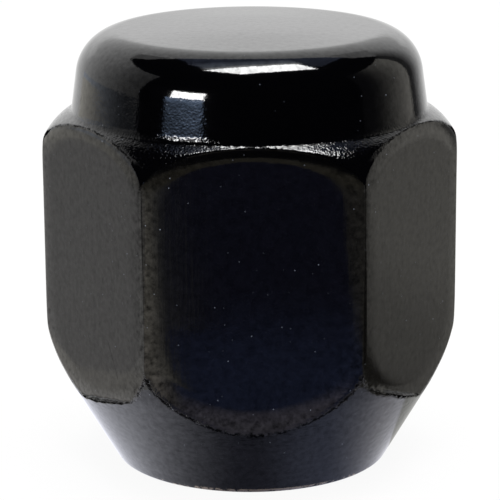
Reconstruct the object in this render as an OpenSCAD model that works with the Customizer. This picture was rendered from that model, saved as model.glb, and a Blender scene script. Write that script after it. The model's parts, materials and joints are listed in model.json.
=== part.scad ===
// Closed-end lug nut with a conical seat
//
// The nut is one forged piece: a hexagon for the wrench, a seat cone below it, a rounded
// shoulder and a smooth closed cap above it, and a blind threaded bore from below.
// It stands on the small end of its seat cone, with the thread's axis on Z and a flat
// of the hexagon facing -Y. The bore is drawn at the thread's minor diameter.

/* [Hexagon] */
// Width across the flats, which is the wrench size
hex_af = 21; // [18:0.5:26]
// Radius along the six upright edges
hex_edge_r = 0.4; // [0.1:0.1:1.5]
// How far the turned outline passes outside the sharp corners of the hexagon
corner_allow = 0.15; // [0:0.05:0.6]

/* [Seat cone] */
// Included angle of the seat cone
seat_angle = 60; // [45:1:90]
// Metal left around the thread at the small end of the cone
seat_wall = 1.95; // [1.2:0.05:3.5]
// Radius around the cone's small end
seat_edge_r = 0.3; // [0.1:0.05:0.6]
// Radius that blends the cone into the hexagon's corners
seat_blend_r = 8; // [1:0.5:12]

/* [Shoulder] */
// Height of the shoulder's outer corner above the seat end
body_h = 19.4; // [15:0.1:30]
// Slope of the shoulder above the level
shoulder_angle = 31.5; // [20:0.5:45]
// Radius over the shoulder's outer corner
shoulder_r = 3.5; // [0.5:0.1:5]

/* [Cap] */
// Step in from the flats of the hexagon to the foot of the cap
cap_inset = 0.25; // [0.1:0.05:1.5]
// Height of the cap's wall, from its foot to the corner of its top
cap_h = 4.5; // [3:0.1:12]
// Draft of the cap's wall
cap_draft = 8; // [0:0.5:15]
// Radius in the corner at the foot of the cap
cap_root_r = 0.4; // [0.1:0.05:0.8]
// Radius over the top edge of the cap
cap_edge_r = 2.6; // [0.5:0.1:4]
// Slope of the crown where it leaves the top edge
crown_angle = 2; // [0.5:0.25:6]
// Radius of the crown across the middle of the cap
crown_r = 120; // [40:5:200]

/* [Thread] */
// Nominal diameter of the thread
thread_d = 12; // [10:0.5:14.5]
// Pitch of the thread
thread_pitch = 1.5; // [1:0.25:2]
// Included angle of the drill point at the end of the bore
drill_angle = 118; // [90:1:140]
// Metal left between the drill point and the crown
roof_t = 4.2; // [2:0.1:8]
// How much larger in radius the countersunk mouth is than the thread
mouth_over = 0.4; // [0.1:0.05:0.8]
// Included angle of the countersink
mouth_angle = 90; // [60:5:120]

/* [Hidden] */
$fn = 96;

// How far a cutting solid runs past the face that it cuts
cut_over = 1;

// Radii of the turned outline
blank_r = hex_af / 2 / cos(30) + corner_allow;
seat_end_r = thread_d / 2 + seat_wall;
cap_foot_r = hex_af / 2 - cap_inset;
cap_top_r = cap_foot_r - cap_h * tan(cap_draft);

// Heights of the turned outline
seat_z = (blank_r - seat_end_r) / tan(seat_angle / 2);
cap_foot_z = body_h + (blank_r - cap_foot_r) * tan(shoulder_angle);
cap_top_z = cap_foot_z + cap_h;
apex_z = cap_top_z + cap_top_r * tan(crown_angle);
nut_h = apex_z - crown_r * (1 / cos(crown_angle) - 1);

// The bore: a basic 60-degree thread form leaves 5/8 of its triangle's height
bore_r = thread_d / 2 - 5 / 8 * thread_pitch * cos(30);
tip_z = nut_h - roof_t;
bore_z = tip_z - bore_r / tan(drill_angle / 2);
mouth_r = thread_d / 2 + mouth_over;
mouth_z = (mouth_r - bore_r) / tan(mouth_angle / 2);

// A corner is [x, y, radius]. An outline is a list of corners, anticlockwise.
function spot(c) = [c.x, c.y];
function unit(v) = v / norm(v);
function nth(outline, i) = outline[(i + len(outline)) % len(outline)];
function side(outline, i) = spot(nth(outline, i + 1)) - spot(nth(outline, i));

// Angle by which the outline turns at corner i, positive to the left
function turn(outline, i) =
    let (a = unit(side(outline, i - 1)), b = unit(side(outline, i)))
    atan2(a.x * b.y - a.y * b.x, a * b);

// Length of the two sides that corner i's radius would take up
function wanted(outline, i) = nth(outline, i).z * tan(abs(turn(outline, i)) / 2);

// The same, limited so that neighbouring radii share a short side
function setback(outline, i) =
    let (w = wanted(outline, i))
    w == 0 ? 0 : w * min(1,
        norm(side(outline, i - 1)) / (w + wanted(outline, i - 1)),
        norm(side(outline, i)) / (w + wanted(outline, i + 1)));

function arc_start(outline, i) =
    spot(outline[i]) - unit(side(outline, i - 1)) * setback(outline, i);
function arc_end(outline, i) =
    spot(outline[i]) + unit(side(outline, i)) * setback(outline, i);

// The sliver between corner i's arc and the chord below it
module arc_sliver(outline, i) {
    a = arc_start(outline, i);
    b = arc_end(outline, i);
    half_turn = abs(turn(outline, i)) / 2;
    r = setback(outline, i) / tan(half_turn);
    inward = unit((a + b) / 2 - spot(outline[i]));
    intersection() {
        translate(spot(outline[i]) + inward * r / cos(half_turn))
            circle(r);
        polygon([a, (a + b) / 2 - inward * r, b]);
    }
}

// An outline with every corner rounded by its own true arc
module rounded_outline(outline) {
    corners = [for (i = [0 : len(outline) - 1]) i];
    difference() {
        union() {
            polygon([for (i = corners) each [arc_start(outline, i), arc_end(outline, i)]]);
            for (i = corners)
                if (turn(outline, i) > 0)
                    arc_sliver(outline, i);
        }
        for (i = corners)
            if (turn(outline, i) < 0)
                arc_sliver(outline, i);
    }
}

// Corners of the turned outline's right-hand side, from the seat end up
right_side = [
    [seat_end_r, 0, seat_edge_r],
    [blank_r, seat_z, seat_blend_r],
    [blank_r, body_h, shoulder_r],
    [cap_foot_r, cap_foot_z, cap_root_r],
    [cap_top_r, cap_top_z, cap_edge_r]
];
left_side = [for (i = [len(right_side) - 1 : -1 : 0])
    [-right_side[i].x, right_side[i].y, right_side[i].z]];
turned_outline = concat(right_side, [[0, apex_z, crown_r]], left_side);

// The seat cone, shoulder and cap, as turned on the blank before the flats
module turned_body() {
    rotate_extrude()
        intersection() {
            rounded_outline(turned_outline);
            translate([0, -cut_over])
                square([2 * blank_r, nut_h + 2 * cut_over]);
        }
}

// The hexagon, with a flat to -Y and corners on X
module hex_bar() {
    corner_r = hex_af / 2 / cos(30);
    translate([0, 0, -cut_over])
        linear_extrude(nut_h + 2 * cut_over)
            rounded_outline([for (a = [0 : 60 : 300])
                [corner_r * cos(a), corner_r * sin(a), hex_edge_r]]);
}

// The blind bore, with its drill point and its countersunk mouth
module threaded_bore() {
    rotate_extrude()
        polygon([
            [0, -cut_over],
            [mouth_r + cut_over * tan(mouth_angle / 2), -cut_over],
            [bore_r, mouth_z],
            [bore_r, bore_z],
            [0, tip_z]
        ]);
}

module lug_nut() {
    color([0.02, 0.02, 0.03])
        difference() {
            intersection() {
                turned_body();
                hex_bar();
            }
            threaded_bore();
        }
}

lug_nut();
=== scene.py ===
# %% [markdown]
# # A closed-end lug nut, coated gloss black
#
# The nut is one forging: a seat cone, a hexagon, a rounded shoulder and a smooth cap, with a
# blind threaded bore from below. It is modelled here in the order in which a maker shapes it:
# the round blank is turned, the six flats are pressed into it, and the bore is drilled,
# countersunk and tapped. Then it is coated, and stood in a small studio.

# %% Load the frame
import json
import math

import bmesh
import bpy
from mathutils import Matrix, Vector, noise


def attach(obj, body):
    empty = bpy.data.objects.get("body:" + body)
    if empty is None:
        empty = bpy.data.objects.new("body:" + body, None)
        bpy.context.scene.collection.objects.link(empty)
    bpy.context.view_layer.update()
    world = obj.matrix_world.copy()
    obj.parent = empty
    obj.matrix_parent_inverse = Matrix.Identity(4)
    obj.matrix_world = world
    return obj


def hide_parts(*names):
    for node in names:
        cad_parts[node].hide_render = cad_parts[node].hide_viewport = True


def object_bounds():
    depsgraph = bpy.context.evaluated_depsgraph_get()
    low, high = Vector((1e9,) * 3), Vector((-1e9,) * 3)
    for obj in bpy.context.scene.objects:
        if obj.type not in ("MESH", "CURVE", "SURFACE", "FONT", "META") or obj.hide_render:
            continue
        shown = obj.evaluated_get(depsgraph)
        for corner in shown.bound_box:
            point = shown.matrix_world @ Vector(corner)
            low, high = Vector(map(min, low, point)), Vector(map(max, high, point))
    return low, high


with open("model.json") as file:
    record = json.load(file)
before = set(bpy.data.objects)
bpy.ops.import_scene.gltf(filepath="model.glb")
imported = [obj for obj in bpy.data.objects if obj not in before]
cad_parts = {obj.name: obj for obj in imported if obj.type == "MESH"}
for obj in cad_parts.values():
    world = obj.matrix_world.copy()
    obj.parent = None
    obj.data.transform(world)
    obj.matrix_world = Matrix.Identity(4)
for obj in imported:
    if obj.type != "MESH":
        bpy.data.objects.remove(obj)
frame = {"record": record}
solid_low, solid_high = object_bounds()
print("solid box, mm:", [round(1000 * v, 2) for v in (solid_high - solid_low)])

# %% [markdown]
# ## Sizes
#
# The width across the flats, the height and the bore's radius are read from the solid part, so
# the modelled nut can't drift from it. The sizes below that the solid's box doesn't give are
# written in millimetres and used in metres.

# %% Sizes of the nut
MM = 0.001
FLAT = (solid_high.y - solid_low.y) / 2
TOP = solid_high.z
THREAD = next(m for m in frame["record"]["mounts"] if m["name"] == "thread")
BORE = THREAD["dims"]["r_mm"] * MM
THREAD_R = 6.0 * MM
PITCH = 1.5 * MM
BLANK = FLAT / math.cos(math.radians(30)) + 0.15 * MM
SEAT_END = THREAD_R + 1.95 * MM
SEAT_HALF_ANGLE = math.radians(30)
BODY_TOP = 19.4 * MM
SHOULDER_SLOPE = math.radians(31.5)
CAP_FOOT = FLAT - 0.25 * MM
CAP_WALL = 4.5 * MM
CAP_DRAFT = math.radians(8)
CROWN_SLOPE = math.radians(2)
CROWN_R = 120 * MM
MOUTH = THREAD_R + 0.4 * MM
print(f"flats {2 * FLAT / MM:.2f} mm apart, {TOP / MM:.2f} mm tall, bore radius {BORE / MM:.3f} mm")

# %% [markdown]
# ## The turned outline
#
# A round blank is a profile swung round an axis, so the profile is drawn first, as a wire in the
# XZ plane. Each corner has a radius: a corner's arc is one vertex spun about the arc's centre,
# and the straight stretches are extruded vertices. That gives true arcs, where a bevelled wire
# would only give something close to them.

# %% Draw a rounded profile
GRAIN = 0.25 * MM


def line_to(bm, tip, spot):
    """Extrudes a wire from vertex tip to a spot (radius, height), in steps of about one grain."""
    start, end = tip.co.copy(), Vector((spot.x, 0, spot.y))
    steps = max(1, round((end - start).length / GRAIN))
    for step in range(1, steps + 1):
        tip = bmesh.ops.extrude_vert_indiv(bm, verts=[tip])["verts"][0]
        tip.co = start.lerp(end, step / steps)
    return tip


def arc_to(bm, tip, centre, turn):
    """Spins vertex tip about a centre (radius, height) by a turn, positive to the left."""
    radius = (tip.co - Vector((centre.x, 0, centre.y))).length
    steps = max(6, round(radius * abs(turn) / GRAIN))
    swept = bmesh.ops.spin(bm, geom=[tip], cent=(centre.x, 0, centre.y), axis=(0, -1, 0),
                           angle=turn, steps=steps, use_duplicate=False)
    return next(v for v in swept["geom_last"] if isinstance(v, bmesh.types.BMVert))


def draw_profile(bm, corners):
    """Draws a wire through corners (radius, height, arc radius), rounding all but its ends."""
    spots = [Vector(c[:2]) for c in corners]
    tip = bm.verts.new((spots[0].x, 0, spots[0].y))
    for before, here, after, corner in zip(spots, spots[1:], spots[2:], corners[1:]):
        way_in, way_out = (here - before).normalized(), (after - here).normalized()
        turn = math.atan2(way_in.cross(way_out), way_in.dot(way_out))
        start = here - way_in * corner[2] * math.tan(abs(turn) / 2)
        left = Vector((-way_in.y, way_in.x))
        tip = line_to(bm, tip, start)
        tip = arc_to(bm, tip, start + left * math.copysign(corner[2], turn), turn)
    return line_to(bm, tip, spots[-1])


# %% The blank's profile, from the mouth ring up to the crown
SEAT_TOP = (BLANK - SEAT_END) / math.tan(SEAT_HALF_ANGLE)
CAP_FOOT_Z = BODY_TOP + (BLANK - CAP_FOOT) * math.tan(SHOULDER_SLOPE)
CAP_TOP = CAP_FOOT - CAP_WALL * math.tan(CAP_DRAFT)
CAP_TOP_Z = CAP_FOOT_Z + CAP_WALL
CROWN_EDGE = CROWN_R * math.sin(CROWN_SLOPE)
CROWN_EDGE_Z = CAP_TOP_Z + (CAP_TOP - CROWN_EDGE) * math.tan(CROWN_SLOPE)

nut = bmesh.new()
edge_of_crown = draw_profile(nut, [
    (MOUTH, 0, 0),
    (SEAT_END, 0, 0.3 * MM),
    (BLANK, SEAT_TOP, 8 * MM),
    (BLANK, BODY_TOP, 3.5 * MM),
    (CAP_FOOT, CAP_FOOT_Z, 0.4 * MM),
    (CAP_TOP, CAP_TOP_Z, 2.6 * MM),
    (CROWN_EDGE, CROWN_EDGE_Z, 0),
])
crown_centre = Vector((0, CROWN_EDGE_Z - CROWN_R * math.cos(CROWN_SLOPE)))
middle_of_crown = arc_to(nut, edge_of_crown, crown_centre, CROWN_SLOPE)
print(f"profile: {len(nut.verts)} points, crown at {middle_of_crown.co.z / MM:.3f} mm")

# %% [markdown]
# ## Spin the blank
#
# One full spin makes the round blank. Its steps are one degree wide, because the coat is so
# glossy that a coarser blank would show its facets in every reflection.

# %% Spin it round the thread's axis
SPIN_STEPS = 360
bmesh.ops.spin(nut, geom=nut.verts[:] + nut.edges[:], cent=(0, 0, 0), axis=(0, 0, 1),
               angle=math.tau, steps=SPIN_STEPS, use_merge=True, use_duplicate=False)
bmesh.ops.remove_doubles(nut, verts=nut.verts, dist=0.001 * MM)
for v in nut.verts:
    v.co.z = min(v.co.z, TOP)
print(f"blank: {len(nut.faces)} faces")

# %% [markdown]
# ## Press the six flats
#
# Forging dies press the hexagon into the blank. Each flat is a plane: the mesh is first sliced
# where the plane meets the blank, so that the flat gets a crisp outline, and whatever stands
# proud of the plane is pushed back onto it. A real flat isn't pressed quite true where little
# metal stood proud, so it rolls off in a band along its outline. The push follows a smooth
# minimum, which rounds the edge: well where the flat meets the shoulder, less at the flanks, and
# barely where a front edge meets the cone. How far each point stood proud is kept as an
# attribute, in millimetres, because the coat's grain follows it.

# %% How a flat is pressed
ROLL_OFF = 0.09 * MM
ROLL_REACH = 0.8 * MM
ROLL_POWER = 1.5
SOFT_ABOVE = 0.20 * MM
SOFT_BELOW, SOFT_FLANK = 0.03 * MM, 0.14 * MM
FLANK_FROM, FLANK_TO = -5 * MM, -2 * MM
SOFT_FROM, SOFT_TO = 11 * MM, 16 * MM
SOFT_TOP = 0.06 * MM
TOP_FROM, TOP_TO = 19.9 * MM, 20.45 * MM
NOWHERE = -3.0


def pressed(proud, soft):
    """Where a point that stood proud of a flat ends up, as a distance from the flat."""
    spare = max(0.0, 1 - max(proud, 0.0) / ROLL_REACH)
    flat = -ROLL_OFF * spare ** ROLL_POWER
    mix = min(1.0, max(0.0, 0.5 + 0.5 * (proud - flat) / soft))
    return proud + (flat - proud) * mix - soft * mix * (1 - mix)


def share(value, nothing, full):
    """How far a value has gone from nothing to full, between 0 and 1."""
    return min(1.0, max(0.0, (value - nothing) / (full - nothing)))


def softness(spot):
    """How widely a flat's edge is rounded at a point."""
    height = spot.z
    below = SOFT_BELOW + (SOFT_FLANK - SOFT_BELOW) * share(spot.y, FLANK_FROM, FLANK_TO)
    above = below + (SOFT_ABOVE - below) * share(height, SOFT_FROM, SOFT_TO)
    return above + (SOFT_TOP - SOFT_ABOVE) * share(height, TOP_FROM, TOP_TO)


# %% [markdown]
# On two flats the dies stopped short of the foot and left a thin, ragged ledge of the blank
# standing. It could be a piece of its own, but it is the same metal, so those flats are only
# pressed less below a slanted and slightly noisy line. Level slices come first, because a tall
# face couldn't hold so short a step.

# %% Where the dies stopped short
LEDGES = {1: (4.84 * MM, 0.34), 5: (4.82 * MM, 0.20)}
LEDGE_TALL, LEDGE_DEEP = 0.18 * MM, 0.5 * MM
RAGGED, RAGGED_SCALE = 0.07 * MM, 2.2 / MM
LEDGE_ROWS, ROWS_FROM, ROW_STEP = 16, 4.6 * MM, 0.10 * MM
SNAP = 0.0005 * MM


def cut(bm, spot, way, trim=False):
    """Slices a mesh by a plane through a spot, and may trim off what lies past it."""
    bmesh.ops.bisect_plane(bm, geom=bm.verts[:] + bm.edges[:] + bm.faces[:], dist=SNAP,
                           plane_co=spot, plane_no=way, clear_outer=trim)


def left_standing(flat, out, spot):
    """How far a flat is left standing out near its foot."""
    if flat not in LEDGES:
        return 0.0
    middle_z, slope = LEDGES[flat]
    frontward = math.copysign(1, out.x) * (out.y * spot.x - out.x * spot.y)
    stop = middle_z + slope * frontward + RAGGED * noise.noise(spot * RAGGED_SCALE)
    down = share(spot.z, stop + LEDGE_TALL / 2, stop - LEDGE_TALL / 2)
    return LEDGE_DEEP * down * down * (3 - 2 * down)


for row in range(LEDGE_ROWS):
    cut(nut, (0, 0, ROWS_FROM + row * ROW_STEP), (0, 0, 1))
print(f"ledges on flats {sorted(LEDGES)}")

# %% Push the blank back onto each flat
stood_proud = nut.verts.layers.float.new("stood_proud")
on_ledge = nut.verts.layers.float.new("on_ledge")
for v in nut.verts:
    v[stood_proud] = NOWHERE
for k in range(6):
    out = Matrix.Rotation(math.radians(60 * k), 3, "Z") @ Vector((0, -1, 0))
    for step in (-SOFT_ABOVE, -SOFT_ABOVE / 2, -SOFT_BELOW, 0, SOFT_BELOW, SOFT_ABOVE / 2):
        cut(nut, out * (FLAT - ROLL_OFF + step), out)
    for v in nut.verts:
        standing = left_standing(k, out, v.co)
        proud = v.co.dot(out) - FLAT - standing
        v[stood_proud] = max(v[stood_proud], proud / MM)
        if proud > -2 * ROLL_OFF:
            v[on_ledge] = max(v[on_ledge], standing / LEDGE_DEEP)
        soft = softness(v.co)
        if proud > -ROLL_OFF - soft:
            v.co += out * (pressed(proud, soft) - proud)
print(f"hexagon pressed: {len(nut.faces)} faces")

# %% [markdown]
# ## Tap the thread
#
# An internal thread is a ridge that climbs one pitch in each turn. A wire of the ridge's profile,
# a few pitches tall, is spun once round the axis while it climbs by one pitch: the end of the
# turn then lands on the start of the next, and merging the doubles joins them into one long
# helix. Two slices trim it level, the lower one a little way up the countersink.

# %% The helix
THREAD_STEPS = 96
HOLE_TOP = MOUTH - BORE + THREAD["dims"]["length_mm"] * MM
THREAD_FOOT = 0.2 * MM
THREAD_TOP = HOLE_TOP - 1.5 * PITCH
DEPTH = THREAD_R - BORE
FLANK = DEPTH * math.tan(math.radians(30))
turns = math.ceil(THREAD_TOP / PITCH) + 2

tap = bmesh.new()
tip = tap.verts.new((BORE, 0, -PITCH))
for turn in range(turns):
    foot = (turn - 1) * PITCH
    for radius, height in ((BORE, PITCH / 4), (THREAD_R, PITCH / 4 + FLANK),
                           (THREAD_R, PITCH - FLANK), (BORE, PITCH)):
        end = bmesh.ops.extrude_vert_indiv(tap, verts=[tip])["verts"][0]
        end.co = (radius, 0, foot + height)
        tip = end
bmesh.ops.spin(tap, geom=tap.verts[:] + tap.edges[:], cent=(0, 0, 0), axis=(0, 0, 1),
               dvec=(0, 0, PITCH / THREAD_STEPS), angle=math.tau, steps=THREAD_STEPS,
               use_duplicate=False)
bmesh.ops.remove_doubles(tap, verts=tap.verts, dist=0.005 * MM)
for height, side in ((THREAD_FOOT, -1), (THREAD_TOP, 1)):
    cut(tap, (0, 0, height), (0, 0, side), trim=True)
print(f"thread: {turns} pitches, {len(tap.faces)} faces")

# %% [markdown]
# The mouth is countersunk, so the thread starts on a cone, and the tap's lead makes the last turn
# and a half shallower until it runs out in the drilled bore. Both only change a point's distance
# from the axis.

# %% Countersink and run-out
RUN_OUT = 1.5 * PITCH
for v in tap.verts:
    r = v.co.xy.length
    lead = min(1.0, (THREAD_TOP - v.co.z) / RUN_OUT)
    wanted = max(min(r, BORE + DEPTH * lead), MOUTH - v.co.z)
    v.co.xy *= wanted / r
print(f"thread: {THREAD_FOOT / MM:.2f} to {THREAD_TOP / MM:.2f} mm high, {DEPTH / MM:.3f} mm deep")

# %% [markdown]
# ## Close the bore
#
# Above the thread the drilled hole goes on, and ends in the cone of the drill's point. It is
# another spun profile. Bridging joins the open rings: the mouth to the thread's foot, and the
# thread's top to the hole.

# %% Drill point, and one closed mesh
HOLE_FROM = THREAD_TOP + 0.3 * MM
POINT_HALF_ANGLE = math.radians(59)

drill = bmesh.new()
tip = drill.verts.new((BORE, 0, HOLE_FROM))
tip = line_to(drill, tip, Vector((BORE, HOLE_TOP)))
line_to(drill, tip, Vector((0, HOLE_TOP + BORE / math.tan(POINT_HALF_ANGLE))))
bmesh.ops.spin(drill, geom=drill.verts[:] + drill.edges[:], cent=(0, 0, 0), axis=(0, 0, 1),
               angle=math.tau, steps=THREAD_STEPS, use_merge=True, use_duplicate=False)
bmesh.ops.remove_doubles(drill, verts=drill.verts, dist=0.001 * MM)

for part in (tap, drill):
    nut.verts.ensure_lookup_table()
    mesh = bpy.data.meshes.new("bore_part")
    part.to_mesh(mesh)
    part.free()
    outside = len(nut.verts)
    nut.from_mesh(mesh)
    nut.verts.ensure_lookup_table()
    bpy.data.meshes.remove(mesh)
    for v in nut.verts[outside:]:
        v[stood_proud] = NOWHERE


def open_ring(low, high):
    """The open edges whose middle lies between two heights."""
    return [e for e in nut.edges
            if e.is_boundary and low <= (e.verts[0].co.z + e.verts[1].co.z) / 2 <= high]


for low, high in ((-PITCH / 4, PITCH / 4), (THREAD_TOP - PITCH / 4, HOLE_FROM + PITCH / 4)):
    bmesh.ops.bridge_loops(nut, edges=open_ring(low, high))
bmesh.ops.recalc_face_normals(nut, faces=nut.faces)
print(f"closed: {sum(not e.is_manifold for e in nut.edges)} open edges left")

# %% Make the piece
coated_mesh = bpy.data.meshes.new("coated_nut")
nut.to_mesh(coated_mesh)
nut.free()
coated_mesh.polygons.foreach_set("use_smooth", [True] * len(coated_mesh.polygons))
coated_nut = bpy.data.objects.new("coated_nut", coated_mesh)
bpy.context.scene.collection.objects.link(coated_nut)
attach(coated_nut, "root")
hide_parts("lug_nut")
coated_mesh.calc_loop_triangles()
print(f"coated_nut: {len(coated_mesh.loop_triangles)} triangles")

# %% [markdown]
# ## The coat
#
# The nut is dipped or sprayed gloss black, and the coat is thin: the drawn lines of the bar stay
# in the flats, the rings of the turning tool stay in the cone, and the unfinished shoulder keeps
# its forged grain. Each of these is a height in millimetres, worked out from Object coordinates,
# and one Bump node adds up their slopes. A small helper adds the nodes and fills their sockets.

# %% A helper for nodes
coat = bpy.data.materials.new("black_coat")
coat.use_nodes = True
skin = coat.node_tree.nodes["Principled BSDF"]


def put(kind, sockets, **settings):
    """Adds a node to the coat, sets it, fills its sockets and gives its first output."""
    node = coat.node_tree.nodes.new("ShaderNode" + kind)
    for name, value in settings.items():
        setattr(node, name, value)
    for name, value in sockets.items():
        if isinstance(value, bpy.types.NodeSocket):
            coat.node_tree.links.new(value, node.inputs[name])
        else:
            node.inputs[name].default_value = value
    return node.outputs[0]


def fade(value, nothing, full):
    """A mask that rises smoothly from 0 to 1 as a value goes from nothing to full."""
    return put("MapRange", {"Value": value, "From Min": nothing, "From Max": full},
               interpolation_type="SMOOTHSTEP")


def times(a, b):
    return put("Math", {0: a, 1: b}, operation="MULTIPLY")


def plus(a, b):
    return put("Math", {0: a, 1: b}, operation="ADD")


def less(a):
    """What a mask leaves out."""
    return put("Math", {0: 1.0, 1: a}, operation="SUBTRACT")


# %% [markdown]
# The masks say which part of the nut a point is on. Height and distance from the axis come from
# the coordinates, and the flats and their bands from how far the metal stood proud.

# %% Where on the nut
coords = coat.node_tree.nodes.new("ShaderNodeTexCoord")
spot = put("VectorMath", {0: coords.outputs["Object"], "Scale": 1 / MM}, operation="SCALE")
spot_parts = coat.node_tree.nodes.new("ShaderNodeSeparateXYZ")
coat.node_tree.links.new(spot, spot_parts.inputs[0])
height = spot_parts.outputs["Z"]
level = put("VectorMath", {0: spot, 1: (1, 1, 0)}, operation="MULTIPLY")
axis_gap = coat.node_tree.nodes.new("ShaderNodeVectorMath")
axis_gap.operation = "LENGTH"
coat.node_tree.links.new(level, axis_gap.inputs[0])
from_axis = axis_gap.outputs["Value"]
press = coat.node_tree.nodes.new("ShaderNodeAttribute")
press.attribute_name = "stood_proud"
proudness = press.outputs["Fac"]
ledge = coat.node_tree.nodes.new("ShaderNodeAttribute")
ledge.attribute_name = "on_ledge"

on_flat = fade(proudness, -0.02, 0.10)
off_flat = less(on_flat)
in_band = times(on_flat, fade(proudness, 0.80, 0.35))
at_outline = times(fade(proudness, -0.20, -0.02), fade(proudness, 0.22, 0.02))
on_shoulder = times(off_flat, times(fade(height, 19.3, 20.1), fade(height, 21.10, 20.65)))
on_cone = times(off_flat, fade(height, 9.5, 7.5))
in_bore = times(fade(from_axis, 6.5, 6.35), fade(height, 21.6, 21.3))

# %% [markdown]
# Six kinds of relief lie in the coat. Peel is the slight waviness of any sprayed coat. Grain is
# finer, and strong on the shoulder. Lumps are what the blank's skin left in the cone. Drawn lines
# run along the flats, and rings run round the cone, so their noise is stretched that way. A
# ragged crease runs where a flat's lower outline was pressed into the cone.

# %% Relief of the coat, in millimetres
PEEL, DRAWN, RINGS, LUMPS, CREASE = 0.005, 0.004, 0.004, 0.008, 0.020
GRAIN_FINE, GRAIN_CAP_FOOT, GRAIN_ROUGH = 0.0014, 0.0035, 0.0190

peel = put("TexNoise", {"Vector": spot, "Scale": 0.9, "Detail": 2.0, "Roughness": 0.5})
grain = put("TexNoise", {"Vector": spot, "Scale": 8.0, "Detail": 1.0, "Roughness": 0.5})
blots = put("TexNoise", {"Vector": spot, "Scale": 3.0, "Detail": 4.0, "Roughness": 0.65})
along = put("VectorMath", {0: spot, 1: (4.5, 4.5, 0.22)}, operation="MULTIPLY")
drawn = put("TexNoise", {"Vector": along, "Scale": 1.0, "Detail": 4.0, "Roughness": 0.65})
rings = put("TexNoise", {"W": height, "Scale": 5.0, "Detail": 3.0, "Roughness": 0.6},
            noise_dimensions="1D")

ragged = plus(proudness, times(plus(blots, -0.5), 0.4))
in_crease = times(times(fade(ragged, -0.17, -0.10), fade(ragged, -0.01, -0.08)),
                  fade(height, 9.8, 8.8))
cap_foot = times(off_flat, times(fade(height, 20.0, 20.9), fade(height, 23.6, 21.6)))
grain_depth = plus(plus(GRAIN_FINE, times(cap_foot, GRAIN_CAP_FOOT)),
                   times(plus(on_shoulder, times(at_outline, 0.3)), GRAIN_ROUGH))
relief = times(peel, PEEL)
relief = plus(relief, times(grain, grain_depth))
relief = plus(relief, times(times(drawn, times(on_flat, less(in_band))), DRAWN))
relief = plus(relief, times(times(rings, on_cone), RINGS))
relief = plus(relief, times(times(blots, on_cone), LUMPS))
relief = plus(relief, times(in_crease, -CREASE))
bump = put("Bump", {"Height": relief, "Strength": 1.0, "Distance": MM})
coat.node_tree.links.new(bump, skin.inputs["Normal"])
print(f"relief: {len(coat.node_tree.nodes)} nodes so far")

# %% [markdown]
# Colour has little to do here. The coat is nearly black, a few specks of dust lie on it, and the
# rim that the nut stands on has lost its coat in places and shows brownish steel.

# %% Specks and worn rim
SPECK = (0.16, 0.18, 0.22, 1)
STEEL = (0.52, 0.43, 0.34, 1)
COAT_BLACK = (0.0006, 0.0006, 0.0009, 1)

dust = coat.node_tree.nodes.new("ShaderNodeTexVoronoi")
dust.inputs["Scale"].default_value = 1.6
coat.node_tree.links.new(spot, dust.inputs["Vector"])
cell_parts = coat.node_tree.nodes.new("ShaderNodeSeparateXYZ")
coat.node_tree.links.new(dust.outputs["Color"], cell_parts.inputs[0])
dust_on = times(fade(dust.outputs["Distance"], 0.075, 0.03),
                times(cell_parts.outputs["X"], less(in_bore)))
scrape = put("TexNoise", {"Vector": spot, "Scale": 1.7, "Detail": 4.0, "Roughness": 0.7})
at_rim = times(fade(height, 0.30, 0.18), fade(from_axis, 7.2, 7.6))
slid_on = times(fade(spot_parts.outputs["Y"], -6.6, -7.8), 0.09)
bare = times(at_rim, fade(plus(scrape, slid_on), 0.55, 0.61))

dusty = coat.node_tree.nodes.new("ShaderNodeMix")
dusty.data_type = "RGBA"
dusty.inputs["A"].default_value = COAT_BLACK
dusty.inputs["B"].default_value = SPECK
coat.node_tree.links.new(dust_on, dusty.inputs["Factor"])
worn = coat.node_tree.nodes.new("ShaderNodeMix")
worn.data_type = "RGBA"
worn.inputs["B"].default_value = STEEL
coat.node_tree.links.new(dusty.outputs["Result"], worn.inputs["A"])
coat.node_tree.links.new(bare, worn.inputs["Factor"])
coat.node_tree.links.new(worn.outputs["Result"], skin.inputs["Base Color"])
coat.node_tree.links.new(bare, skin.inputs["Metallic"])
print(f"colour: {len(coat.node_tree.nodes)} nodes so far")

# %% [markdown]
# The coat is glossy nearly everywhere. It is duller in the bore and on bare steel, and a little
# duller in the bands along the flats' outlines. Its strength as a mirror is mottled.

# %% How glossy the coat is
GLOSS, SATIN, BANDED = 0.06, 0.30, 0.08
dull = plus(times(plus(in_bore, bare), SATIN), times(in_band, BANDED))
coat.node_tree.links.new(plus(GLOSS, dull), skin.inputs["Roughness"])
skin.inputs["IOR"].default_value = 1.5

SHEEN, SHEEN_MOTTLE, BAND_MOTTLE = 0.5, 0.9, 0.9
mottle = times(plus(blots, -0.5), plus(SHEEN_MOTTLE, times(in_band, BAND_MOTTLE)))
print(f"roughness: {GLOSS} on the coat, {GLOSS + SATIN} in the bore")
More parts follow.
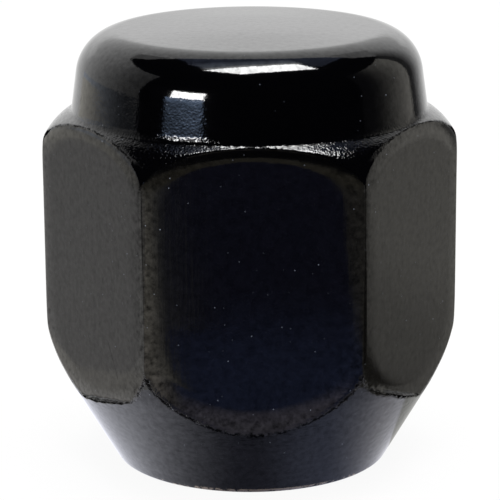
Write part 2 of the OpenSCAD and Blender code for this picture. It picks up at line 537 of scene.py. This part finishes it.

# %% [markdown]
# Nicks, creases, wrinkles and the ledges are darkened by masks that take the mirror's strength
# away; they could be modelled, but most are finer than the mesh. The nicks and wrinkles are marks
# of the coat, and patches of the ledges are made darker too. The crease under the flats' lower
# outlines, the notch at each corner's top and the fillet at the cap's foot are painted shade, and
# the nicks and the notch also dull a highlight of the side softbox.

# %% Where the gloss is lost, and where shade is painted
NICK_AND_SHADE, CREASE_SHADE, WRINKLED, LEDGED = 0.85, 0.80, 0.5, 0.8
# Painted shade: in the notch where a flat's corner meets the shoulder the mirror's strength is
# taken away, so it shows no highlight of the side softbox.
notch_shade = times(times(fade(from_axis, 11.35, 11.65), fade(height, 18.2, 18.7)),
                 times(fade(proudness, -0.45, -0.25), fade(proudness, 0.05, -0.03)))
# The nicks are ragged dark marks of the coat along the flats' upper outlines; partly they are
# painted shade that dulls a highlight of the side softbox there.
in_nick = times(times(fade(ragged, -0.17, -0.09), fade(ragged, 0.05, -0.03)),
                times(fade(height, 14.5, 16.0), fade(scrape, 0.44, 0.54)))
# Painted shade: in the ragged crease under the flats' lower outlines the mirror's strength is taken
# away, so the crease is darker as if shade fell in it.
lost = plus(times(in_crease, times(fade(scrape, 0.36, 0.50), CREASE_SHADE)),
            times(in_nick, NICK_AND_SHADE))
wrinkles = put("TexNoise", {"Vector": put("VectorMath", {0: spot, 1: (1.3, 1.3, 6.0)},
                                          operation="MULTIPLY"),
                            "Scale": 1.0, "Detail": 4.0, "Roughness": 0.6})
in_wrinkle = times(times(fade(proudness, -1.0, -0.5), fade(proudness, -0.05, -0.2)),
                   times(fade(height, 5.6, 4.6), fade(wrinkles, 0.52, 0.62)))
# Painted shade: patches of the fillet at the cap's foot, on the front only, lose the mirror's
# strength as if shade lay in that crease, which breaks up its highlight.
cap_foot_shade = times(times(fade(height, 20.46, 20.58), fade(height, 21.05, 20.85)),
                    times(fade(spot_parts.outputs["Y"], -7.8, -8.6), fade(blots, 0.47, 0.53)))
in_ledge = times(fade(ledge.outputs["Fac"], 0.02, 0.10), fade(blots, 0.34, 0.46))
lost = plus(plus(lost, times(cap_foot_shade, NICK_AND_SHADE)), plus(notch_shade, times(in_wrinkle, WRINKLED)))
lost = plus(lost, times(in_ledge, LEDGED))
print(f"lost gloss: {len(coat.node_tree.nodes)} nodes so far")

# %% [markdown]
# One fine scratch runs down the left flat. It is thinner than the mesh's faces, so the coat draws
# it: a point is in the scratch where it lies on that flat and close to a slanted line, given by
# the line's distance along the flat at one height and by its slope.

# %% The scratch on the left flat
LEFT_OUT, LEFT_ALONG = (-0.866, -0.5), (0.5, -0.866)
LEFT_FLAT_FROM, LEFT_FLAT_TO = (10.30, 10.45), (10.70, 10.55)
SCRATCH_ALONG, SCRATCH_AT, SCRATCH_SLOPE = 2.013, 8.641, -0.5811
SCRATCH_FOOT, SCRATCH_HEAD = (6.75, 6.90), (8.65, 8.85)
SCRATCH_WIDTH = (0.06, 0.015)
SCRATCHED = 0.6


def reach(way):
    """How far a point lies from the axis along a level way, in millimetres."""
    return plus(times(spot_parts.outputs["X"], way[0]), times(spot_parts.outputs["Y"], way[1]))


outward = reach(LEFT_OUT)
on_left_flat = times(fade(outward, *LEFT_FLAT_TO), fade(outward, *LEFT_FLAT_FROM))
scratch_reach = times(fade(height, *SCRATCH_FOOT), less(fade(height, *SCRATCH_HEAD)))
scratch_line = plus(times(plus(height, -SCRATCH_AT), SCRATCH_SLOPE), SCRATCH_ALONG)
scratch_gap = put("Math", {0: reach(LEFT_ALONG), 1: scratch_line}, operation="SUBTRACT")
scratch_gap = put("Math", {0: scratch_gap}, operation="ABSOLUTE")
in_scratch = times(times(on_left_flat, scratch_reach), fade(scratch_gap, *SCRATCH_WIDTH))
lost = plus(lost, times(in_scratch, SCRATCHED))
lost = fade(lost, 0, 1)
sheen = times(plus(SHEEN, mottle), less(lost))
coat.node_tree.links.new(sheen, skin.inputs["Specular IOR Level"])
coated_mesh.materials.append(coat)
print(f"black_coat: {len(coat.node_tree.nodes)} nodes")

# %% [markdown]
# ## The studio
#
# Black gloss has no colour of its own to show: what the eye reads is the room in it. So the room
# is built as a photographer would build it. White paper lies under and behind the nut, a black
# wall stands round the camera, dark cloth lies on the floor in front, grey panels stand at the
# sides, and two softboxes give the highlights. Cards laid on the paper paint its light and shade
# near the nut, as reflections show it. The white is the world's own colour.

# %% White paper and white surroundings
PAPER = 0.9
PAPER_SIZE = 2.0
PAPER_DROP = 0.02 * MM
SHADOW_SHARE = 0.08


def white_for_the_eye(tree, lit):
    """Mixes plain white into a shader for the camera's and the mirrored rays."""
    path = tree.nodes.new("ShaderNodeLightPath")
    seen = path.outputs["Is Camera Ray"]
    for ray in ("Is Glossy Ray", "Is Transmission Ray"):
        either = tree.nodes.new("ShaderNodeMath")
        either.operation = "MAXIMUM"
        tree.links.new(seen, either.inputs[0])
        tree.links.new(path.outputs[ray], either.inputs[1])
        seen = either.outputs[0]
    whitened = tree.nodes.new("ShaderNodeMath")
    whitened.operation = "MULTIPLY"
    whitened.inputs[1].default_value = 1 - SHADOW_SHARE
    tree.links.new(seen, whitened.inputs[0])
    white = tree.nodes.new("ShaderNodeEmission")
    combined = tree.nodes.new("ShaderNodeMixShader")
    tree.links.new(whitened.outputs[0], combined.inputs[0])
    tree.links.new(lit, combined.inputs[1])
    tree.links.new(white.outputs[0], combined.inputs[2])
    return combined.outputs[0]


floor_mesh = bpy.data.meshes.new("floor")
sheet = bmesh.new()
bmesh.ops.create_grid(sheet, x_segments=1, y_segments=1, size=PAPER_SIZE)
bmesh.ops.translate(sheet, verts=sheet.verts, vec=(0, 0, -PAPER_DROP))
sheet.to_mesh(floor_mesh)
sheet.free()
floor = bpy.data.objects.new("floor", floor_mesh)
bpy.context.scene.collection.objects.link(floor)
paper = bpy.data.materials.new("white_paper")
paper.use_nodes = True
matt = paper.node_tree.nodes["Principled BSDF"]
matt.inputs["Base Color"].default_value = (PAPER, PAPER, PAPER, 1)
matt.inputs["Roughness"].default_value = 1
paper.node_tree.links.new(white_for_the_eye(paper.node_tree, matt.outputs[0]),
                          paper.node_tree.nodes["Material Output"].inputs["Surface"])
floor_mesh.materials.append(paper)

world = bpy.data.worlds.new("white_room")
bpy.context.scene.world = world
world.use_nodes = True
world.node_tree.nodes["Background"].inputs["Color"].default_value = (1, 1, 1, 1)
world.node_tree.nodes["Background"].inputs["Strength"].default_value = 1.0
print(f"paper: {2 * PAPER_SIZE:.0f} m wide, keeps {SHADOW_SHARE:.0%} of its own shade")

# %% [markdown]
# Each wall, panel and softbox face is a card. An upright card is a stretch of a cylinder round
# the nut, and may have a skirt that runs in over the paper. It is a bent wire that is spun about
# the axis, and placed by the compass directions and the heights, in degrees, that it covers as
# seen from the nut. Level cards lie on the paper or hang overhead. Cards are seen only in
# reflections, so the camera can look past them from any side, and they don't light the paper.

# %% What a card shines with
def glow(name, colour):
    """A card's glow in one colour."""
    surface = bpy.data.materials.new(name)
    surface.use_nodes = True
    tree = surface.node_tree
    tree.nodes.remove(tree.nodes["Principled BSDF"])
    light = tree.nodes.new("ShaderNodeEmission")
    light.name = "Light"
    light.inputs["Color"].default_value = (*colour, 1)
    tree.links.new(light.outputs[0], tree.nodes["Material Output"].inputs["Surface"])
    return surface


def fading(name, way, start, end):
    """A glow that turns from start to end (place, colour), in millimetres along a way."""
    surface = glow(name, start[1])
    tree = surface.node_tree
    where = tree.nodes.new("ShaderNodeTexCoord")
    place = tree.nodes.new("ShaderNodeVectorMath")
    place.operation = "DOT_PRODUCT"
    place.inputs[1].default_value = way
    tree.links.new(where.outputs["Object"], place.inputs[0])
    return mixed(surface, place.outputs["Value"], MM, start, end)


def turning(name, start, end):
    """A glow that turns from start to end (place, colour), in degrees round the compass."""
    surface = glow(name, start[1])
    tree = surface.node_tree
    where = tree.nodes.new("ShaderNodeTexCoord")
    split = tree.nodes.new("ShaderNodeSeparateXYZ")
    tree.links.new(where.outputs["Object"], split.inputs[0])
    front = tree.nodes.new("ShaderNodeMath")
    front.operation = "MULTIPLY"
    front.inputs[1].default_value = -1
    tree.links.new(split.outputs["Y"], front.inputs[0])
    place = tree.nodes.new("ShaderNodeMath")
    place.operation = "ARCTAN2"
    tree.links.new(split.outputs["X"], place.inputs[0])
    tree.links.new(front.outputs[0], place.inputs[1])
    return mixed(surface, place.outputs[0], math.radians(1), start, end)


def mixed(surface, place, unit, start, end):
    """Mixes two colours by a place, smoothly from start to end."""
    tree = surface.node_tree
    ramp = tree.nodes.new("ShaderNodeMapRange")
    ramp.interpolation_type = "SMOOTHSTEP"
    ramp.inputs["From Min"].default_value = start[0] * unit
    ramp.inputs["From Max"].default_value = end[0] * unit
    tree.links.new(place, ramp.inputs["Value"])
    mix = tree.nodes.new("ShaderNodeMix")
    mix.data_type = "RGBA"
    mix.inputs["A"].default_value = (*start[1], 1)
    mix.inputs["B"].default_value = (*end[1], 1)
    tree.links.new(ramp.outputs["Result"], mix.inputs["Factor"])
    tree.links.new(mix.outputs["Result"], tree.nodes["Light"].inputs["Color"])
    return surface


def grey(strength, tint=(1, 1, 1)):
    """A strength of light, tinted."""
    return tuple(strength * part for part in tint)


# %% How a card is cut and hung
ROOM = 400
EYE_LEVEL = 18
LAID = 0.02
CARD_STEPS = 24
UP, RIGHTWARD, BACKWARD = (0, 0, 1), (1, 0, 0), (0, 1, 0)


def hang(name, bm, surface):
    """Turns a bmesh into a card that only reflections see."""
    mesh = bpy.data.meshes.new(name)
    bm.to_mesh(mesh)
    bm.free()
    mesh.materials.append(surface)
    card = bpy.data.objects.new(name, mesh)
    bpy.context.scene.collection.objects.link(card)
    card.visible_camera = card.visible_diffuse = card.visible_shadow = False
    print(f"card {name}: {len(mesh.polygons)} faces")


def round_card(name, compass, wire, surface):
    """Spins a wire of (distance, height), in mm, between two compass ways (0 is the camera's)."""
    bm = bmesh.new()
    points = [bm.verts.new((0, -distance * MM, height * MM)) for distance, height in wire]
    edges = [bm.edges.new(pair) for pair in zip(points, points[1:])]
    bmesh.ops.rotate(bm, verts=points, cent=(0, 0, 0),
                     matrix=Matrix.Rotation(math.radians(compass[0]), 3, "Z"))
    bmesh.ops.spin(bm, geom=points + edges, cent=(0, 0, 0), axis=(0, 0, 1), steps=CARD_STEPS,
                   angle=math.radians(compass[1] - compass[0]), use_duplicate=False)
    hang(name, bm, surface)


def upright(heights, distance=ROOM):
    """The wire of a wall between two heights, in degrees as seen from the nut."""
    return [(distance, EYE_LEVEL + distance * math.tan(math.radians(h))) for h in heights]


def skirted(top, inner, distance=ROOM):
    """The wire of a wall that stands on the paper and has a skirt in to an inner distance."""
    return [(inner, LAID), (distance, LAID)] + upright([top], distance)


def level_card(name, across, along, height, surface, turn=0, lean=0):
    """A level card between two x and two y values in millimetres, at a height, leant and turned."""
    bm = bmesh.new()
    bmesh.ops.create_grid(bm, x_segments=1, y_segments=1, size=0.5)
    bmesh.ops.scale(bm, verts=bm.verts, vec=((across[1] - across[0]) * MM,
                                             (along[1] - along[0]) * MM, 1))
    bmesh.ops.translate(bm, verts=bm.verts, vec=(sum(across) / 2 * MM, sum(along) / 2 * MM,
                                                 height * MM))
    for v in bm.verts:
        v.co.x += lean * v.co.y
    bmesh.ops.rotate(bm, verts=bm.verts, cent=(0, 0, 0),
                     matrix=Matrix.Rotation(math.radians(turn), 3, "Z"))
    hang(name, bm, surface)


# %% Walls and panels
BLUISH = (0.93, 1.0, 1.12)
WARM = (1.03, 1.0, 0.92)
SKIRT = 95
NEAR, FAR = 1.2 * SKIRT, ROOM
black_cloth = glow("black_cloth", grey(0))
round_card("camera_wall", (-76, 76), upright((-2.5, 62)), black_cloth)
round_card("camera_skirt", (-76, 76), [(NEAR, LAID), (FAR, LAID)],
           glow("brown_skirt", (0.22, 0.20, 0.15)))
round_card("left_above", (-134, -76), upright((43, 56)), black_cloth)
round_card("left_above_end", (-150, -134), upright((43, 54)), glow("left_end_grey", grey(0.45)))
round_card("right_above", (76, 132), upright((38, 56)), black_cloth)
round_card("right_above_end", (132, 152), upright((38, 52)), glow("right_end_grey", grey(0.6)))
round_card("left_panel", (-140, -76), upright((1.5, 43)),
           turning("left_grey", (-134, grey(0.95)), (-78, grey(0.28))))
round_card("left_low_panel", (-140, -76), upright((-2.5, 1.5)),
           turning("left_low_grey", (-138, grey(0.88, BLUISH)), (-80, grey(0.10, BLUISH))))
round_card("left_skirt", (-140, -76), [(SKIRT, LAID), (FAR, LAID)],
           turning("left_skirt_grey", (-138, grey(0.92, WARM)), (-80, grey(0.12, WARM))))
round_card("right_panel", (76, 126.5), skirted(38, SKIRT),
           turning("right_grey", (82, grey(0.03)), (126, grey(0.62, WARM))))
round_card("right_gap", (126.5, 133), skirted(38, SKIRT), glow("gap_grey", grey(0.08)))
round_card("right_back", (133, 152), skirted(38, SKIRT),
           turning("right_back_grey", (131, grey(0.15)), (151, grey(0.95))))
round_card("back_light", (145, 215), upright((-2, 17), 1.2 * ROOM),
           fading("back_white", UP, (75, grey(1.05)), (130, grey(1.25))))
round_card("back_light_top", (145, 215), upright((17, 58), 1.2 * ROOM),
           fading("back_top_white", UP, (145, grey(1.25)), (195, grey(0.98))))

# %% Softboxes and ceiling
CEILING = 468
level_card("dark_ceiling", (-480, 480), (-600, 260), CEILING, black_cloth)
level_card("ceiling_glow", (-150, 230), (30, 262), CEILING - 3,
           glow("ceiling_blue", (0.17, 0.20, 0.30)))
BOX_TURN = 26
ACROSS_BOX = (-math.sin(math.radians(BOX_TURN)), math.cos(math.radians(BOX_TURN)), 0)
HALO = (0.8, 0.9, 1.1)
level_card("far_halo", (-105, 160), (75, 160), CEILING - 4,
           fading("far_halo_blue", ACROSS_BOX, (75, HALO), (160, (0.30, 0.34, 0.48))),
           turn=BOX_TURN)
level_card("near_halo", (-130, 155), (10, 75), CEILING - 4,
           fading("near_halo_white", ACROSS_BOX, (15, grey(4)), (75, HALO)), turn=BOX_TURN)
level_card("overhead_softbox", (-146, 146), (-124, 20), CEILING - 5,
           glow("softbox_white", grey(22)), turn=BOX_TURN, lean=-0.42)
round_card("side_softbox", (-52.5, -30), upright((8, 20.3), 0.95 * ROOM),
           glow("side_white", grey(28)))
# Painted reflection: the bluish card below the side softbox stands in for the haze that the coat
# scatters round that highlight.
round_card("side_glow", (-56, -30.5), upright((1, 8), 0.96 * ROOM),
           fading("side_painted_haze", UP, (EYE_LEVEL + 8, (0.20, 0.25, 0.33)),
                  (EYE_LEVEL + 52, (1.6, 2.2, 3.3))))

# %% Cloths, and painted light and shade on the paper
SHADE_BLUE = (0.94, 0.98, 1.36)
NAVY, NAVY_NEAR = (0.053, 0.056, 0.105), (0.105, 0.135, 0.28)
SLANT = 11.3
ASLANT = (math.cos(math.radians(SLANT)), -math.sin(math.radians(SLANT)), 0)
level_card("front_cloth", (-9, 12), (-NEAR, -32), LAID,
           fading("navy_cloth", BACKWARD, (-56, NAVY), (-33, NAVY_NEAR)))
level_card("front_edge", (-9, 12), (-32, -20), LAID,
           fading("navy_edge", BACKWARD, (-27.5, NAVY_NEAR), (-21, (0.44, 0.41, 0.51))))
# Painted light and shade: the sheets and strips laid on the paper below stand in for its brightness
# in reflections, lighter near the nut and dimmer farther out.
level_card("left_front_sheet", (-SKIRT, -9), (-NEAR, -20), LAID,
           glow("warm_sheet", (0.66, 0.63, 0.58)))
round_card("left_front_fade", (-20, -7.5), [(30, 2 * LAID), (NEAR, 2 * LAID)],
           turning("warm_fade", (-14, (0.88, 0.83, 0.71)), (-8, (0.19, 0.19, 0.20))))
round_card("left_front_dusk", (-7.5, -2), [(45, 2 * LAID), (NEAR, 2 * LAID)],
           turning("navy_dusk", (-8, (0.19, 0.19, 0.20)), (-2.5, NAVY)))
level_card("left_near_sheet", (-14, -0.5), (-50, -22), 2 * LAID,
           fading("pale_sheet", ASLANT, (-3.5, (1.15, 1.05, 0.93)), (-0.5, (0.15, 0.15, 0.19))),
           turn=-SLANT)
level_card("right_cloth", (12, SKIRT), (-NEAR, -5), LAID,
           glow("brown_cloth", (0.18, 0.17, 0.15)))
level_card("pale_strip", (-13, 16), (-20, -15), LAID, glow("pale_cloth", (0.44, 0.42, 0.49)))
# Painted shade: the paper to the sides is greyed as it dims away from the lamp, as reflections show
# it.
level_card("left_sheet", (-SKIRT, -16), (-5, SKIRT), LAID,
           glow("left_paper_shade", (0.53, 0.52, 0.51)))
level_card("right_shade", (21.5, SKIRT), (-9, 6), 2 * LAID,
           fading("right_shade_grey", BACKWARD, (0.5, (0.04, 0.037, 0.03)), (5, grey(0.27, WARM))))
level_card("right_sheet", (17, SKIRT), (-5, SKIRT), LAID,
           fading("right_paper_shade", BACKWARD, (8, grey(0.29, WARM)), (25, grey(0.41, WARM))))
round_card("edge_shade", (-64, -52), [(26, 2 * LAID), (SKIRT, 2 * LAID)],
           glow("edge_grey", grey(0.15)))
round_card("edge_light", (-92, -66), [(26, 2 * LAID), (SKIRT, 2 * LAID)],
           glow("edge_pale", (0.80, 0.79, 0.76)))
# Painted light: the paper far to the left of the foot is brightened, as reflections show it.
level_card("foot_far_left", (-26, -16), (-15, 24), 2 * LAID,
           fading("foot_far_left_light", RIGHTWARD, (-22, (0.68, 0.66, 0.62)),
                  (-17.5, (1.1, 1.08, 1.05))))

# Painted shade and painted light: the foot cards ring the nut's foot and stand in for the paper
# there as reflections show it, dark in the nut's shade in front and bright to the left.
FOOT_SHADE, FOOT_HALF_SHADE = (0.146, 0.152, 0.21), (0.30, 0.33, 0.47)
FOOT = [(5, LAID), (16.5, LAID)]
round_card("foot_left", (-180, 0), FOOT,
           turning("foot_left_light_and_shade", (-64, (1.30, 1.32, 1.46)), (-3, FOOT_SHADE)))
round_card("foot_middle", (0, 30), FOOT,
           turning("foot_middle_shade", (0, FOOT_SHADE), (26, FOOT_HALF_SHADE)))
round_card("foot_right", (30, 84), FOOT,
           turning("foot_right_light_and_shade", (30, FOOT_HALF_SHADE), (75, (1.0, 1.0, 1.08))))
round_card("foot_back_right", (84, 180), FOOT, glow("foot_back_shade", (0.62, 0.62, 0.60)))

# %% A soft lamp for the paper
lamp = bpy.data.lights.new("overhead_lamp", "AREA")
lamp.shape = "RECTANGLE"
lamp.size, lamp.size_y = 375 * MM, 216 * MM
lamp.energy = 1.2
overhead = bpy.data.objects.new("overhead_lamp", lamp)
overhead.location = (40 * MM, -30 * MM, (CEILING - 10) * MM)
overhead.visible_glossy = False
bpy.context.scene.collection.objects.link(overhead)
print(f"lamp: {lamp.energy} W, {CEILING - 10} mm above the paper")

# %% [markdown]
# ## The camera
#
# The camera stands a little above the nut's middle and looks almost straight at one flat. Its
# lens is long, as for a product picture.

# %% Camera
PICTURE = 500
FOCAL = 2421.2
AIM = Vector((-0.03, 0, 12.09)) * MM
DISTANCE = 141.6 * MM
ELEVATION = math.radians(15.16)
YAW = math.radians(0.77)
ROLL = math.radians(-0.38)

ahead = Vector((math.sin(YAW), math.cos(YAW), 0))
across = Vector((math.cos(YAW), -math.sin(YAW), 0))
look = ahead * math.cos(ELEVATION) - Vector((0, 0, math.sin(ELEVATION)))
above = ahead * math.sin(ELEVATION) + Vector((0, 0, math.cos(ELEVATION)))
right = across * math.cos(ROLL) + above * math.sin(ROLL)
upward = above * math.cos(ROLL) - across * math.sin(ROLL)

lens = bpy.data.cameras.new("product_lens")
lens.sensor_width = 36
lens.lens = FOCAL / PICTURE * lens.sensor_width
lens.clip_start = 1 * MM
camera = bpy.data.objects.new("camera", lens)
camera.matrix_world = Matrix.Translation(AIM - look * DISTANCE) @ Matrix(
    (right, upward, -look)).transposed().to_4x4()
bpy.context.scene.collection.objects.link(camera)
bpy.context.scene.camera = camera
bpy.context.scene.view_settings.view_transform = "Standard"
print(f"camera: {lens.lens:.1f} mm lens, {DISTANCE / MM:.0f} mm away")
